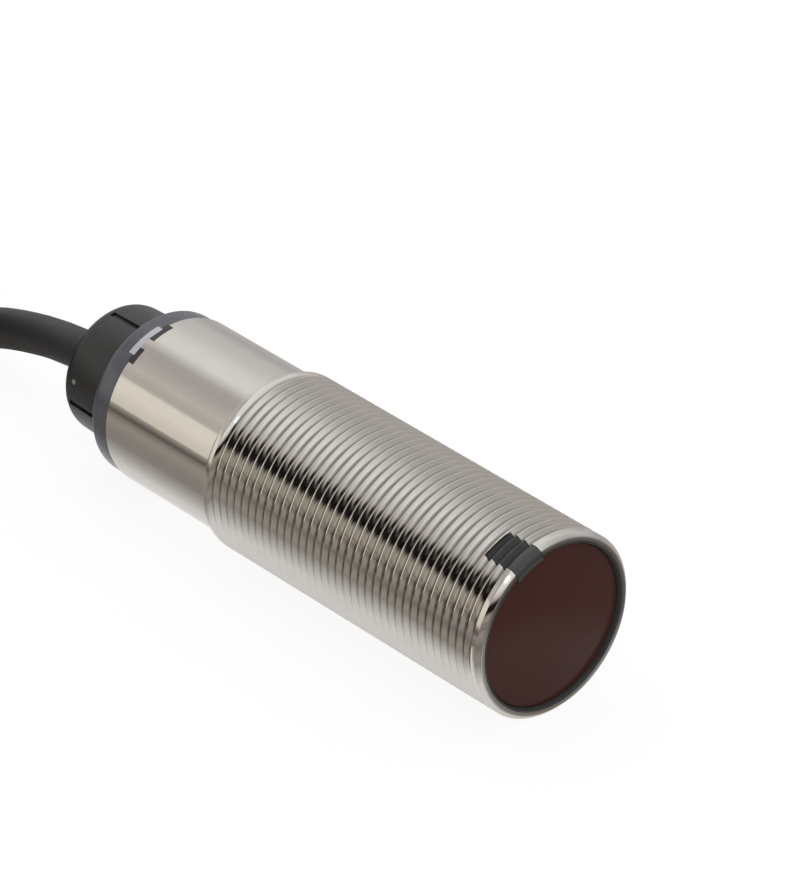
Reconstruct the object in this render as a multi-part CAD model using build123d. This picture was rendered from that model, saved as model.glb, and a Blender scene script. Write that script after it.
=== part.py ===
# Through-beam photoelectric sensor, receiver half: an M18 x 1 nickel-plated brass sleeve with a flat dark
# red front lens, a smoke-grey indicator ring, a black rear cap and 2 m of round cable.
# Millimetres. +X is the optical axis, pointing at the target, and +Z is up. The sensor lies on its thread,
# and the origin is under the middle of its body. A station is a distance behind the front edge of the lens
# holder, and an angle round the axis is counted from +Z towards -Y. The threaded length is plain at the
# thread's crest, and a round tube is drawn with flat sides.

import os
from math import asin, cos, pi, radians, sin, tan

from build123d import *

# Threaded sleeve
thread_radius = 9.0
thread_pitch = 1.0
thread_depth = 0.61
thread_turns = 36
smooth_length = 14.2
sleeve_wall = 0.49
front_land = 0.55
rear_land = 0.3
rim_chamfer = 0.4
rim_setback = 0.05
rim_land = 0.45

# Front lens, its holder and the key that shows in the thread
holder_rim_wall = 0.25
lens_recess = 0.45
lens_rim_thickness = 0.5
lens_body_setback = 0.8
lens_bulge = 2.6
lens_body_depth = 0.9
lens_chords = 2
holder_length = 8.0
key_angle = 22.0
key_width = 3.2
key_end = 3.9
seal_section = 1.0

# Light path and boards
baffle_length = 10.2
baffle_mouth_radius = 6.4
baffle_throat_radius = 2.2
baffle_throat_length = 1.2
baffle_steps = 2
detector_thickness = 0.8
board_thickness = 1.0
board_width = 12.0
board_setback = 2.0
carrier_wall = 0.7
carrier_inset = 0.5
rail_height = 1.3
rail_reach = 0.5
photodiode_size = 3.2
photodiode_height = 1.0
lamp_length = 2.0
lamp_width = 1.25
lamp_inset = 5.0
lamp_edge_gap = 0.2
lamp_base_height = 0.5
lamp_lens_height = 0.4
shield_length = 9.0
shield_width = 8.0
shield_height = 2.6
shield_wall = 0.25
shield_corner = 0.4
shield_inset = 1.2
chip_foot = 0.6
chip_foot_width = 0.3
chip_foot_thickness = 0.25
chip_edge = 0.12
chip_gap = 1.0
chip_pair_shift = 0.4
amplifier_length = 4.0
amplifier_width = 3.6
amplifier_height = 1.2
logic_length = 5.0
logic_width = 4.0
logic_height = 1.0
capacitor_length = 3.5
capacitor_width = 2.8
capacitor_height = 1.9
diode_length = 2.6
diode_width = 1.5
diode_height = 1.0
power_chip_length = 2.9
power_chip_width = 1.6
power_chip_height = 1.1

# Indicator ring and window
ring_setback = 0.14
ring_length = 2.4
ring_wall = 1.65
ring_edge = 0.4
spigot_length = 4.5
rear_seal_depth = 2.2
lug_length = 0.7
lug_root_depth = 0.3
lug_angles = [(12.5, 2.45), (35.0, 1.75)]
window_angle = 22.0
window_width = 3.8
window_length = 1.5
window_depth = 0.55

# Rear cap
cap_step = 0.4
cap_taper = 0.2
cap_length = 6.6
cap_edge = 1.2
cap_spigot_length = 2.9
cap_wall = 1.0
cap_exit_wall = 2.0
cap_slots = 4
first_slot_angle = 9.0
slot_width = 0.55
slot_depth = 0.4
slot_end_gap = 1.1
bush_radius = 3.4
bush_length = 2.8
crimp_wall = 0.4
crimp_length = 1.8
crimp_gap = 0.8
sheath_lead = 0.6

# Cable
cable_diameter = 4.0
cable_sides = 8
core_diameter = 1.0
core_sides = 6
core_spread = 0.66
core_pad_spacing = 2.8
core_pad_length = 1.5
core_pad_rise = 0.3
level_run = 12.5
drop_run = 11.9
drop_height = 3.04
drop_side = 0.2
settle_run = 8.0
stub_length = 16.0
coil_mean_radius = 20.0
coil_slots = 4
coil_layers = 5
coil_corner = 1.2
coil_behind = 53.4
coil_beside = 19.0
coil_entry_angle = 77.3
tie_angle = 330.0
tie_width = 3.6
tie_thickness = 0.9
tie_head_length = 5.0
tie_head_width = 4.8
tie_head_height = 2.4
end_start_angle = 60.0
end_start_radius = 14.5
end_headings = [156, 188, 222, 257, 292]
end_run = 11.0
free_core_runs = [3.0, 8.0, 9.0]
free_core_turns = [0, 30, 70]
free_core_fans = [4, 10, 4]
strip_length = 6.0
strip_diameter = 0.6

# Clearances
slip = 0.05
moulding_gap = 0.1
bore_gap = 0.15

# What follows from them
thread_root_radius = thread_radius - thread_depth
bore_radius = thread_root_radius - sleeve_wall
lens_body_radius = bore_radius - lens_body_setback
ring_radius = thread_root_radius - ring_setback
ring_bore_radius = bore_radius - ring_wall
cap_radius = ring_bore_radius + cap_step
cap_rear_radius = cap_radius - cap_taper
holder_rim_radius = thread_radius - rim_chamfer - rim_land
holder_body_radius = bore_radius - slip
sleeve_front = rim_setback
thread_start = sleeve_front + rim_chamfer + front_land
thread_end = thread_start + thread_turns * thread_pitch
smooth_start = thread_end + rear_land + thread_depth
sleeve_rear = smooth_start + smooth_length
ring_rear = sleeve_rear + ring_length
cap_rear = ring_rear + cap_length
half_length = cap_rear / 2
axis_height = thread_radius
baffle_start = holder_length + slip
detector_front = baffle_start + baffle_length + slip
board_front = detector_front + detector_thickness
board_rear = sleeve_rear - board_setback
lamp_front = board_rear - lamp_inset
lamp_across = board_width / 2 - lamp_edge_gap - lamp_width / 2
diode_front = board_rear - lamp_inset - diode_length + 1.0
power_chip_front = diode_front - chip_gap - power_chip_length
bush_front = cap_rear - cap_exit_wall - bush_length
crimp_front = bush_front - crimp_gap - crimp_length
sheath_start = crimp_front - sheath_lead
core_run = sheath_start - board_rear
cable_radius = cable_diameter / 2
coil_height = coil_layers * cable_diameter
coil_half_width = coil_slots * cable_diameter / 2
coil_centre = (-half_length - coil_behind, -coil_beside)


def place(solid):
    """Lift a solid that was made round the X axis to the sensor's own axis."""
    return Pos(0, 0, axis_height) * solid


def at_angle(angle, solid):
    """Turn a solid that stands over the axis along +Z to an angle round it."""
    return place(Rot(angle, 0, 0) * solid)


def turned(outline):
    """Revolve an outline of (station, radius) points round the axis."""
    points = [(half_length - station, radius) for station, radius in outline]
    return place(revolve(make_face(Polyline(*points, close=True)), Axis.X, 360))


def tube_piece(start, end, inner, outer):
    return turned([(start, inner), (start, outer), (end, outer), (end, inner)])


def block(start, end, width, low, high, across=0.0):
    """A box between two stations, its width centred on `across`, between two heights over the axis."""
    size = Box(end - start, width, high - low)
    return Pos(half_length - (start + end) / 2, across, (low + high) / 2) * size


def make_sleeve():
    # a chamfer, the threaded length, its run-out and the smooth part, with a seat for the lens holder's rim
    seat = holder_rim_radius + slip
    outline = [(sleeve_front, seat), (sleeve_front, thread_radius - rim_chamfer)]
    outline += [(sleeve_front + rim_chamfer, thread_radius), (thread_end + rear_land, thread_radius)]
    outline += [(smooth_start, thread_root_radius), (sleeve_rear, thread_root_radius)]
    outline += [(sleeve_rear, bore_radius), (thread_start, bore_radius), (thread_start, seat)]
    sleeve = turned(outline)
    sleeve -= at_angle(key_angle, block(0, key_end, key_width, bore_radius - 1, thread_radius + 1))
    for angle, width in lug_angles:
        notch = block(sleeve_rear - lug_length, sleeve_rear + 1, width, bore_radius - 1, thread_radius + 1)
        sleeve -= at_angle(angle, notch)
    return sleeve


def make_lens_holder():
    # a thin rim round the lens, a step down into the sleeve's bore, an open tube and a seat for the seal
    rim_bore = holder_rim_radius - holder_rim_wall
    lens_seat = lens_recess + lens_rim_thickness
    seal_front = holder_length - seal_section
    seal_seat = bore_radius - seal_section
    tube_bore = seal_seat - 0.5
    outline = [(0, rim_bore), (0, holder_rim_radius), (thread_start, holder_rim_radius)]
    outline += [(thread_start, holder_body_radius), (seal_front, holder_body_radius)]
    outline += [(seal_front, seal_seat), (holder_length, seal_seat), (holder_length, tube_bore)]
    outline.append((lens_seat + lens_body_depth + lens_bulge, tube_bore))
    outline += [(lens_seat + lens_body_depth, lens_body_radius + slip), (lens_seat, lens_body_radius + slip)]
    outline += [(lens_seat, rim_bore)]
    holder = turned(outline)
    # the key fills the sleeve's slot
    crest, end = thread_radius - slip, key_end - slip
    inner = holder_body_radius - holder_rim_wall
    key = turned([(sleeve_front, rim_bore), (sleeve_front, crest - rim_chamfer),
                  (sleeve_front + rim_chamfer, crest), (end, crest), (end, inner), (thread_start, inner),
                  (thread_start, rim_bore)])
    width = key_width - 2 * slip
    slab = block(sleeve_front, end, width, bore_radius - 1, thread_radius + 1)
    return holder + (key & at_angle(key_angle, slab))


def make_lens():
    # flat in front, with a rim that sits in the holder, and a bulging back that gathers the beam
    rim = holder_rim_radius - holder_rim_wall - slip
    seat = lens_recess + lens_rim_thickness
    back = seat + lens_body_depth
    outline = [(back + lens_bulge, 0), (lens_recess, 0), (lens_recess, rim), (seat, rim)]
    outline += [(seat, lens_body_radius), (back, lens_body_radius)]
    radius = (lens_body_radius ** 2 + lens_bulge ** 2) / (2 * lens_bulge)
    for chord in range(1, lens_chords):
        angle = asin(lens_body_radius / radius) * (1 - chord / lens_chords)
        outline.append((back + lens_bulge - radius * (1 - cos(angle)), radius * sin(angle)))
    return turned(outline)


def make_seal(station):
    """A square-cut rubber ring against the sleeve's bore."""
    half = seal_section / 2 - slip
    return tube_piece(station - half, station + half, bore_radius - seal_section, bore_radius)


def make_baffle():
    # a black funnel that keeps stray light from the photodiode, stepped inside against glints
    outer = bore_radius - moulding_gap
    end = baffle_start + baffle_length
    step_length = (baffle_length - baffle_throat_length) / baffle_steps
    step_height = (baffle_mouth_radius - baffle_throat_radius) / baffle_steps
    outline = [(end, baffle_throat_radius), (end, outer), (baffle_start, outer)]
    for step in range(baffle_steps):
        radius = baffle_mouth_radius - step * step_height
        outline += [(baffle_start + step * step_length, radius),
                    (baffle_start + (step + 1) * step_length, radius)]
    outline.append((end - baffle_throat_length, baffle_throat_radius))
    window = photodiode_size / 2 + moulding_gap
    pocket = block(end - photodiode_height, end + 1, 2 * window, -window, window)
    return turned(outline) - place(pocket)


def make_carrier():
    # a half shell under the board, with a grooved rail along each edge of it
    outer = bore_radius - moulding_gap
    start, end = board_front + carrier_inset, lamp_front - carrier_inset
    shell = tube_piece(start, end, outer - carrier_wall, outer)
    rail_width = outer - board_width / 2 + rail_reach
    for side in (-1, 1):
        across = side * (board_width / 2 - rail_reach + rail_width / 2)
        shell += place(block(start, end, rail_width, -rail_height, rail_height, across))
    shell &= tube_piece(start, end, 0, outer) & place(block(start, end, 2 * outer, -outer, rail_height))
    slot = board_thickness / 2 + slip
    return shell - place(block(start - 1, end + 1, board_width + 2 * slip, -slot, slot))


def make_ring():
    # a translucent ring behind the sleeve, with a spigot in its bore and two lugs in notches of its rear rim
    outer = bore_radius - slip
    start, seal = sleeve_rear - spigot_length, sleeve_rear - rear_seal_depth
    groove = seal - seal_section / 2, seal + seal_section / 2
    groove_radius = bore_radius - seal_section
    outline = [(start, ring_bore_radius), (start, outer), (groove[0], outer), (groove[0], groove_radius)]
    outline += [(groove[1], groove_radius), (groove[1], outer), (sleeve_rear, outer)]
    outline.append((sleeve_rear, ring_radius))
    outline += [(ring_rear - ring_edge, ring_radius), (ring_rear, ring_radius - ring_edge)]
    outline.append((ring_rear, ring_bore_radius))
    ring = turned(outline)
    lug_root = outer - lug_root_depth
    for angle, width in lug_angles:
        lug_front = sleeve_rear - lug_length + slip
        lug = block(lug_front, sleeve_rear, width - 2 * slip, lug_root, thread_radius)
        ring += at_angle(angle, lug) & tube_piece(groove[1], sleeve_rear, lug_root, thread_root_radius)
    seat = block(sleeve_rear, sleeve_rear + window_length + slip, window_width + 2 * slip,
                 bore_radius - window_depth - slip, thread_radius)
    return ring - at_angle(window_angle, seat)


def make_window():
    # a clearer insert in the ring, over the lamps on the board
    front, rear = sleeve_rear + slip, sleeve_rear + window_length
    window = block(front, rear, window_width, bore_radius - window_depth, thread_radius)
    return at_angle(window_angle, window) & tube_piece(sleeve_rear, ring_rear, bore_radius - 1, ring_radius)


def make_cap():
    # a black moulding with a spigot in the ring, a rounded rear edge and four lengthways slots
    spigot = ring_bore_radius - slip
    cavity = spigot - cap_wall
    exit_start = cap_rear - cap_exit_wall
    exit_radius = cable_radius + bore_gap
    outline = [(ring_rear - cap_spigot_length, cavity), (ring_rear - cap_spigot_length, spigot)]
    inset = cap_edge * (1 - cos(pi / 4))
    outline += [(ring_rear, spigot), (ring_rear, cap_radius), (cap_rear - cap_edge, cap_rear_radius)]
    outline += [(cap_rear - inset, cap_rear_radius - inset), (cap_rear, cap_rear_radius - cap_edge)]
    outline += [(cap_rear, exit_radius), (exit_start, exit_radius), (exit_start, bush_radius)]
    outline += [(bush_front - moulding_gap, bush_radius), (bush_front - moulding_gap, cavity)]
    cap = turned(outline)
    for slot in range(cap_slots):
        cut = block(ring_rear, cap_rear - slot_end_gap, slot_width, cap_radius - slot_depth, cap_radius + 1)
        cap -= at_angle(first_slot_angle + slot * 360 / cap_slots, cut)
    return cap


def make_chip(start, length, width, height, across=0.0, side=1, pins=0):
    """A flat package on the board, with a row of short feet along each side if it has pins."""
    face = board_thickness / 2
    low, high = (face, face + height) if side > 0 else (-face - height, -face)
    chip = chamfer(block(start, start + length, width, low, high, across).edges().filter_by(Axis.X), chip_edge)
    for pin in range(pins):
        station = start + (pin + 0.5) * length / pins
        foot = min(chip_foot_thickness, height / 3)
        low_foot = face if side > 0 else -face - foot
        reach = width + 2 * chip_foot
        front = station - chip_foot_width / 2
        chip += block(front, front + chip_foot_width, reach, low_foot, low_foot + foot, across)
    return place(chip)


def make_lamp(side):
    """A surface-mounted lamp: a flat base with a small clear lens."""
    face, across = board_thickness / 2, side * lamp_across
    top = face + lamp_base_height
    base = block(lamp_front, lamp_front + lamp_length, lamp_width, face, top, across)
    middle = half_length - lamp_front - lamp_length / 2
    lens = Pos(middle, across, top + lamp_lens_height / 2) * Cylinder(0.4 * lamp_width, lamp_lens_height)
    return place(base + lens)


def make_shield():
    # a folded metal cover, open towards the board
    start = board_front + shield_inset
    end = start + shield_length
    face = board_thickness / 2
    cover = block(start, end, shield_width, face, face + shield_height)
    cover = fillet(cover.edges().filter_by(Axis.Z), shield_corner)
    inner_width = shield_width - 2 * shield_wall
    inner_top = face + shield_height - shield_wall
    return place(cover - block(start + shield_wall, end - shield_wall, inner_width, face - 1, inner_top))


def make_chips():
    """The packages on the board, from the amplifier under its cover to what guards the output."""
    cover_middle = board_front + shield_inset + shield_length / 2
    logic_front = board_front + shield_inset + shield_length + chip_gap
    across = board_width / 4 + chip_pair_shift
    amplifier = (cover_middle - amplifier_length / 2, amplifier_length, amplifier_width, amplifier_height)
    capacitor = (logic_front, capacitor_length, capacitor_width, capacitor_height)
    power = (power_chip_front, power_chip_length, power_chip_width, power_chip_height)
    diode = (diode_front, diode_length, diode_width, diode_height)
    return {
        "amplifier_chip": make_chip(*amplifier, pins=4),
        "logic_chip": make_chip(logic_front, logic_length, logic_width, logic_height, pins=5),
        "filter_capacitor": make_chip(*capacitor, side=-1),
        "voltage_regulator": make_chip(*power, -across, pins=3),
        "output_transistor": make_chip(*power, across, pins=3),
        "surge_diode": make_chip(*diode, -across),
        "polarity_diode": make_chip(*diode, across),
    }


def swept(points, diameter, corner_radii, sides):
    """A tube along straight runs joined by arcs, its round section drawn with flat sides."""
    path = FilletPolyline(*points, radius=corner_radii)
    start = path % 0
    section = Plane(origin=path @ 0, z_dir=start) * RegularPolygon(diameter / 2, sides)
    return sweep(section, path=path), path.length


def largest_arcs(points):
    """For each corner of a route the largest arc that its two runs allow."""
    radii = []
    for before, corner, after in zip(points, points[1:], points[2:]):
        first, second = Vector(*corner) - Vector(*before), Vector(*after) - Vector(*corner)
        half_turn = radians(first.get_angle(second)) / 2
        radii.append(0.45 * min(first.length, second.length) / tan(half_turn))
    return radii


def round_coil(angle, radius, height):
    """A point by its angle and radius about the middle of the coil."""
    turn = radians(angle)
    return (coil_centre[0] + radius * cos(turn), coil_centre[1] + radius * sin(turn), height)


def make_cable():
    """The cable's route: out of the cap, down to the surface and along it to the coil."""
    heading = radians(coil_entry_angle)
    back = (sin(heading), -cos(heading))
    touch = round_coil(coil_entry_angle, coil_mean_radius + coil_half_width - cable_radius, cable_radius)
    join = (touch[0] + back[0] * stub_length, touch[1] + back[1] * stub_length, cable_radius)
    settle = (join[0] + back[0] * settle_run, join[1] + back[1] * settle_run, cable_radius)
    start = half_length - sheath_start
    drop = (start - level_run - drop_run, -drop_side, axis_height - drop_height)
    route = [(start, 0, axis_height), (start - level_run, 0, axis_height), drop, settle, join]
    radii = largest_arcs(route)
    sheath, length = swept(route, cable_diameter, radii, cable_sides)
    print("cable radii", [round(radius, 1) for radius in radii], "length", round(length, 1))
    area = cable_sides * cable_radius ** 2 * sin(2 * pi / cable_sides) / 2
    print("cable volume", round(sheath.volume, 1), "of", round(area * length, 1))
    return sheath, touch, join


def make_coil(touch, join):
    # the outer shape of the wound cable, with the straight stretch by which the cable runs into it
    inner, outer = coil_mean_radius - coil_half_width, coil_mean_radius + coil_half_width
    section = Pos((inner + outer) / 2, coil_height / 2) * Rectangle(outer - inner, coil_height)
    section = chamfer(section.vertices(), coil_corner)
    ring = revolve(Plane.XZ * section, Axis.Z, 360)
    ring = Pos(coil_centre[0], coil_centre[1], 0) * ring
    run = Vector(*touch) - Vector(*join)
    section = Plane(origin=join, z_dir=run) * RegularPolygon(cable_radius, cable_sides)
    return ring + extrude(section, run.length)


def make_tie():
    # a flat strap round the section of the coil, with its square head on top
    width, height = 2 * coil_half_width, coil_height + tie_thickness
    frame = Pos(0, height / 2) * Rectangle(width + 2 * tie_thickness, height)
    hole = Pos(0, height / 2) * Rectangle(width, height - 2 * tie_thickness)
    frame, hole = chamfer(frame.vertices(), coil_corner), chamfer(hole.vertices(), coil_corner)
    strap = extrude(Plane.XZ * (frame - hole), tie_width / 2, both=True)
    head = Pos(0, 0, height + tie_head_height / 2) * Box(tie_head_length, tie_head_width, tie_head_height)
    middle = round_coil(tie_angle, coil_mean_radius, 0)
    return Pos(*middle) * Rot(0, 0, tie_angle) * (strap + fillet(head.edges().filter_by(Axis.Z), 0.4))


def walk(start, height, headings, run):
    """Points on the level, one run apart, each run along its own heading."""
    points = [(start[0], start[1], height)]
    for heading in headings:
        x, y, _ = points[-1]
        points.append((x + run * cos(radians(heading)), y + run * sin(radians(heading)), height))
    return points


def make_tail():
    """The cable's free end, which lies on top of the coil."""
    start = round_coil(end_start_angle, end_start_radius, 0)
    route = walk(start, coil_height + cable_radius, end_headings, end_run)
    radii = largest_arcs(route)
    tail, length = swept(route, cable_diameter, radii, cable_sides)
    print("end radii", [round(radius, 1) for radius in radii], "length", round(length, 1))
    return tail, route[-1]


def core_places():
    """Where the four cores lie in the cable's section: across and up, in the order that they fan out."""
    return {"brown": (-1, -1), "blue": (-1, 1), "white": (1, 1), "black": (1, -1)}


def make_free_cores(end, heading):
    # the cores fan out of the sheath's end and lie on the coil, each with its bare tinned end
    cores, strands = {}, []
    rest = coil_height + core_diameter / 2
    side = radians(heading + 90)
    for number, (name, (across, up)) in enumerate(core_places().items()):
        fan = number - 1.5
        start = (end[0] + across * core_spread * cos(side), end[1] + across * core_spread * sin(side),
                 end[2] + up * core_spread)
        route = [start]
        for run, turn, spread in zip(free_core_runs, free_core_turns, free_core_fans):
            height = rest if len(route) > 1 else start[2]
            route.append(walk(route[-1], height, [heading + turn + spread * fan], run)[-1])
        first, last = route[-2:]
        cores["free_core_" + name], _ = swept(route, core_diameter, largest_arcs(route), core_sides)
        along = Plane(origin=last, z_dir=Vector(*last) - Vector(*first))
        strands.append(extrude(along * RegularPolygon(strip_diameter / 2, core_sides), strip_length))
    return cores, Compound(children=strands)


def make_inner_cores():
    # from the sheath's end the cores rise over the board's rear edge and come down on their pads
    cores = {}
    pad_height = axis_height + board_thickness / 2 + core_diameter / 2
    for number, (name, (across, up)) in enumerate(core_places().items()):
        x, y, z = half_length - sheath_start, across * core_spread, axis_height + up * core_spread
        pad_y = (number - 1.5) * core_pad_spacing
        rise = (x + 0.75 * core_run, 0.3 * y + 0.7 * pad_y, pad_height + core_pad_rise)
        pad = (half_length - board_rear + core_pad_length, pad_y, pad_height)
        route = [(x, y, z), (x + 0.25 * core_run, y, z), rise, pad]
        cores["core_" + name], _ = swept(route, core_diameter, largest_arcs(route), core_sides)
    return cores


def make_parts():
    sheath, touch, join = make_cable()
    tail, tail_end = make_tail()
    tie = make_tie()
    free_cores, strands = make_free_cores(tail_end, end_headings[-1])
    parts = {
        "threaded_sleeve": make_sleeve(),
        "lens_holder": make_lens_holder(),
        "front_lens": make_lens(),
        "front_seal": make_seal(holder_length - seal_section / 2),
        "light_baffle": make_baffle(),
        "detector_board": tube_piece(detector_front, board_front, 0, bore_radius - moulding_gap),
        "photodiode": place(block(detector_front - photodiode_height, detector_front, photodiode_size,
                                  -photodiode_size / 2, photodiode_size / 2)),
        "main_board": place(block(board_front, board_rear, board_width, -board_thickness / 2,
                                  board_thickness / 2)),
        "shield_cover": make_shield(),
        "board_carrier": make_carrier(),
        "operation_lamp": make_lamp(-1),
        "stability_lamp": make_lamp(1),
        "indicator_ring": make_ring(),
        "indicator_window": make_window(),
        "rear_seal": make_seal(sleeve_rear - rear_seal_depth),
        "rear_cap": make_cap(),
        "cable_bush": tube_piece(bush_front, bush_front + bush_length, cable_radius, bush_radius),
        "crimp_ring": tube_piece(crimp_front, crimp_front + crimp_length, cable_radius,
                                 cable_radius + crimp_wall),
        "cable_sheath": sheath,
        "cable_coil": make_coil(touch, join) - tie,
        "cable_end": tail,
        "coil_tie": tie,
        "stripped_ends": strands,
    }
    parts.update(make_chips())
    parts.update(make_inner_cores())
    parts.update(free_cores)
    return parts


os.makedirs("parts", exist_ok=True)
for name, solid in make_parts().items():
    export_step(solid, "parts/" + name + ".step")
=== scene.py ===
import math

import bmesh
import bpy
from mathutils import Matrix, Vector


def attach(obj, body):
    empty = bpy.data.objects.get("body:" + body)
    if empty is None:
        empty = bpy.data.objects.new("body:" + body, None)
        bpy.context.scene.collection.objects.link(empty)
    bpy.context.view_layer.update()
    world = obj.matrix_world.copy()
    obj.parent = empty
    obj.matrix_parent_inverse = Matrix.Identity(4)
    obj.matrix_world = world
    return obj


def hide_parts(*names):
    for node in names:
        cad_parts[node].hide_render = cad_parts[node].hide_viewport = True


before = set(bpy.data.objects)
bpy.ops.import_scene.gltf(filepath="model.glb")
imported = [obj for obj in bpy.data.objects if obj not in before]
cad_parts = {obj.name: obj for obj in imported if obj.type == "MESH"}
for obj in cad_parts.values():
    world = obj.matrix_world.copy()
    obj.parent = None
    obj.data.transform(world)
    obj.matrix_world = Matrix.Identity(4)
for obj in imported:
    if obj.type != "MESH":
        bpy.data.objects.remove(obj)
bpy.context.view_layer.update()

# Looks of a threaded through-beam sensor, receiver half, with its coiled cable.
# Sizes in the dictionaries are millimetres. A station is a distance behind the front edge of the lens
# holder, and an angle round the axis is counted from +Z towards -Y. Cutting blocks reach past what they cut
# by "spare", or by "overlap" where they stop at a face.

mm = 0.001
scene = bpy.context.scene

body = {
    "halfLength": 30.555, "axisHeight": 9.0, "crest": 9.0, "root": 8.39, "bore": 7.9,
    "front": 0.05, "chamfer": 0.4, "threadStart": 1.0, "threadEnd": 37.0, "rearLand": 0.3,
    "smoothStart": 37.91, "sleeveRear": 52.11, "ringRear": 54.51, "capRear": 61.11,
    "slip": 0.05, "segments": 192, "cutLow": 6.9, "cutHigh": 10.0, "spare": 1.0, "overlap": 0.01,
}
factor, colourA, colourB = 0, 6, 7        # the sockets of a Mix node set to colours


def onBody(station, radius, angle):
    turn = math.radians(angle)
    x = body["halfLength"] - station
    return Vector((x, -radius * math.sin(turn), body["axisHeight"] + radius * math.cos(turn))) * mm


def onTurned(station, y, z, turn):
    # a point beside the axis, turned round it
    return Vector((body["halfLength"] - station, y * math.cos(turn) - z * math.sin(turn),
                   y * math.sin(turn) + z * math.cos(turn) + body["axisHeight"])) * mm


def linearColour(code):
    # sRGB hex to linear
    values = [int(code[i:i + 2], 16) / 255 for i in (1, 3, 5)]
    return [v / 12.92 if v <= 0.04045 else ((v + 0.055) / 1.055) ** 2.4 for v in values] + [1.0]


def addNode(tree, kind, settings=None, links=None):
    node = tree.nodes.new(kind)
    for name, value in (settings or {}).items():
        if isinstance(name, str) and hasattr(node, name):
            setattr(node, name, value)
        else:
            node.inputs[name].default_value = value
    for name, source in (links or {}).items():
        tree.links.new(source, node.inputs[name])
    return node


def fillRamp(ramp, stops):
    elements = ramp.color_ramp.elements
    while len(elements) < len(stops):
        elements.new(0.5)
    for element, (position, tone) in zip(elements, stops):
        element.position, element.color = position, linearColour(tones[tone])


def blend(value):
    value = min(1.0, max(0.0, value))
    return value * value * (3 - 2 * value)


view = {"azimuth": 48.643, "elevation": 30.761, "distance": 500.0, "right": -13.514, "up": 16.370,
        "focal": 257.436, "sensor": 36.0, "nearest": 0.01, "farthest": 20.0}


def makeCamera():
    azimuth, elevation = math.radians(view["azimuth"]), math.radians(view["elevation"])
    back = Vector((math.sin(azimuth) * math.cos(elevation), -math.cos(azimuth) * math.cos(elevation),
                   math.sin(elevation)))
    right = Vector((math.cos(azimuth), math.sin(azimuth), 0))
    up = back.cross(right)
    data = bpy.data.cameras.new("camera")
    data.sensor_fit, data.sensor_width, data.lens = "HORIZONTAL", view["sensor"], view["focal"]
    data.clip_start, data.clip_end = view["nearest"], view["farthest"]
    camera = bpy.data.objects.new("camera", data)
    scene.collection.objects.link(camera)
    lensCentre = Vector((body["halfLength"], 0, body["axisHeight"]))
    place = (lensCentre + right * view["right"] + up * view["up"] + back * view["distance"]) * mm
    turn = Matrix((right, up, back)).transposed().to_4x4()
    camera.matrix_world = Matrix.Translation(place) @ turn
    scene.camera = camera


makeCamera()
print("camera placed")


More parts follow.
